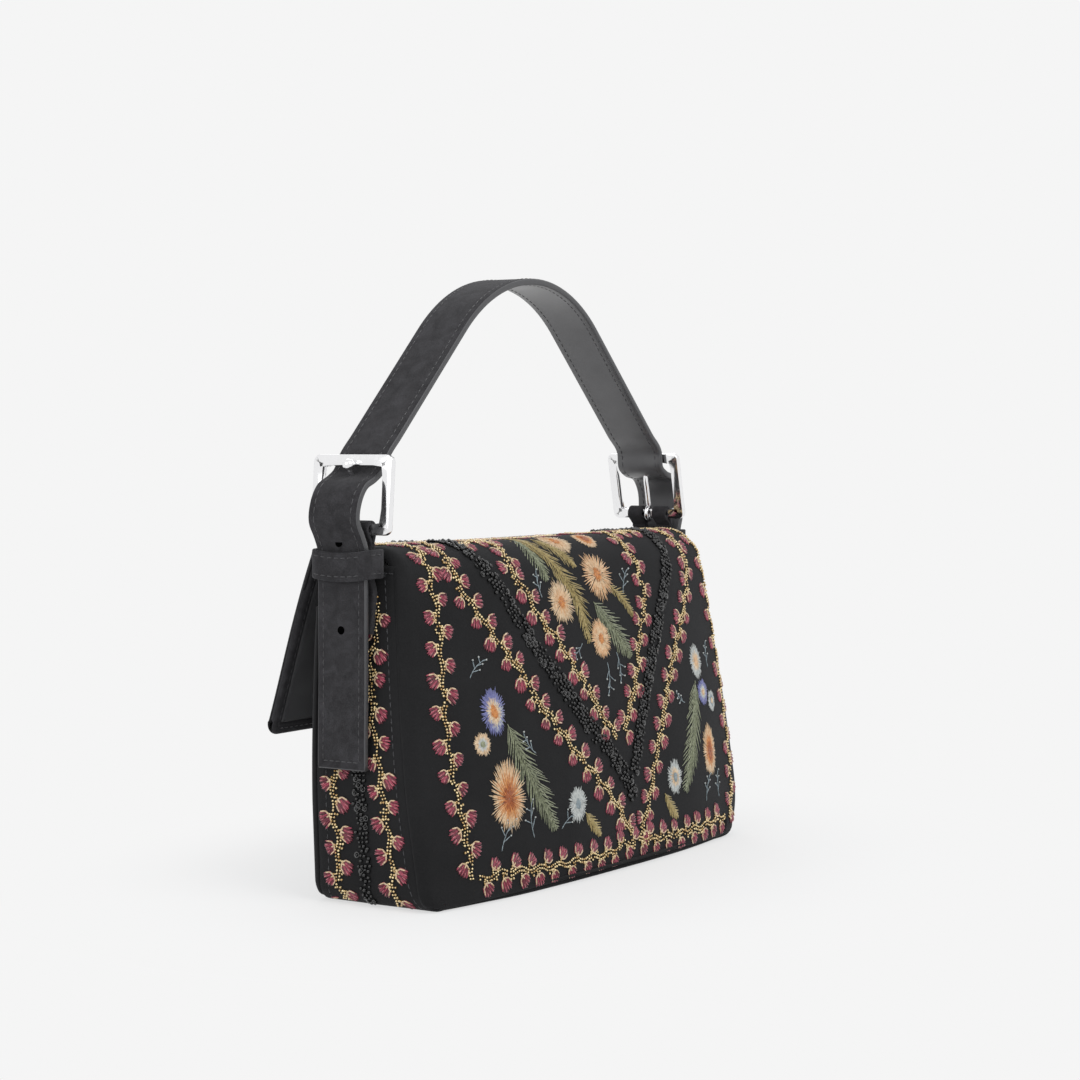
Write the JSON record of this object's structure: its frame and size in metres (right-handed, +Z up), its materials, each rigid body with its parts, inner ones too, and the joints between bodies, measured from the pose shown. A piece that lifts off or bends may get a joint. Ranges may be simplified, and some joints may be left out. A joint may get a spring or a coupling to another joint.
{
  "type": "baguette shoulder bag",
  "caption": "Small long shoulder bag in embroidered black cloth, with a flap hanging unfastened and a short suede handle on two buckles.",
  "frame": {"origin": "centre of the flat base, on the surface the bag stands on", "axes": "+X along the bag towards its near end, +Y towards the embroidered back, +Z up"},
  "size_m": [0.2772, 0.098, 0.2641],
  "materials": {
    "black_cloth": "matt black woven cloth, embroidered",
    "lining_twill": "fine matt black lining twill",
    "charcoal_suede": "napped charcoal suede with painted edges",
    "smooth_leather": "smooth dark grey leather, soft sheen",
    "polished_metal": "polished silver-coloured plating",
    "snap_metal": "satin nickel-coloured snap"
  },
  "bodies": {
    "bag": {"back_panel": "black_cloth", "front_panel": "black_cloth", "gusset_near": "black_cloth", "gusset_far": "black_cloth", "base_panel": "black_cloth", "lining": "lining_twill", "snap_socket": "snap_metal", "tab_near": "charcoal_suede", "tab_far": "charcoal_suede", "tail_seat_near": "charcoal_suede", "tail_seat_far": "charcoal_suede"},
    "flap": {"flap_outer": "black_cloth", "flap_lining": "lining_twill", "snap_stud": "snap_metal"},
    "handle": {"strap_outer": "charcoal_suede", "strap_lining": "smooth_leather", "frame_near": "polished_metal", "frame_far": "polished_metal", "tongue_near": "polished_metal", "tongue_far": "polished_metal", "tab_loop_near": "charcoal_suede", "tab_loop_far": "charcoal_suede"},
    "keeper_near": {"keeper_near": "charcoal_suede"},
    "keeper_far": {"keeper_far": "charcoal_suede"},
    "tail_near": {"tail_near": "charcoal_suede"},
    "tail_far": {"tail_far": "charcoal_suede"}
  },
  "joints": [
    {"name": "flap_fold", "type": "hinge", "parent": "bag", "child": "flap", "pos_m": [0, -0.0384, 0.14399], "axis": [-1, 0, 0], "range_deg": [-13, 110]},
    {"name": "handle_sway", "type": "hinge", "parent": "bag", "child": "handle", "pos_m": [0.0017, -0.01625, 0.1], "axis": [-0.9993, -0.0373, 0], "range_deg": [-15, 15]},
    {"name": "keeper_slide_near", "type": "slide", "parent": "bag", "child": "keeper_near", "axis": [0, 0, 1], "range_m": [-0.0005, 0.0012]},
    {"name": "keeper_slide_far", "type": "slide", "parent": "bag", "child": "keeper_far", "axis": [0, 0, 1], "range_m": [-0.0005, 0.0012]},
    {"name": "tail_lift_near", "type": "hinge", "parent": "bag", "child": "tail_near", "pos_m": [0.13585, -0.0115, 0.1333], "axis": [0, -1, 0], "range_deg": [0, 40]},
    {"name": "tail_lift_far", "type": "hinge", "parent": "bag", "child": "tail_far", "pos_m": [-0.13585, -0.021, 0.1333], "axis": [0, 1, 0], "range_deg": [0, 40]}
  ]
}
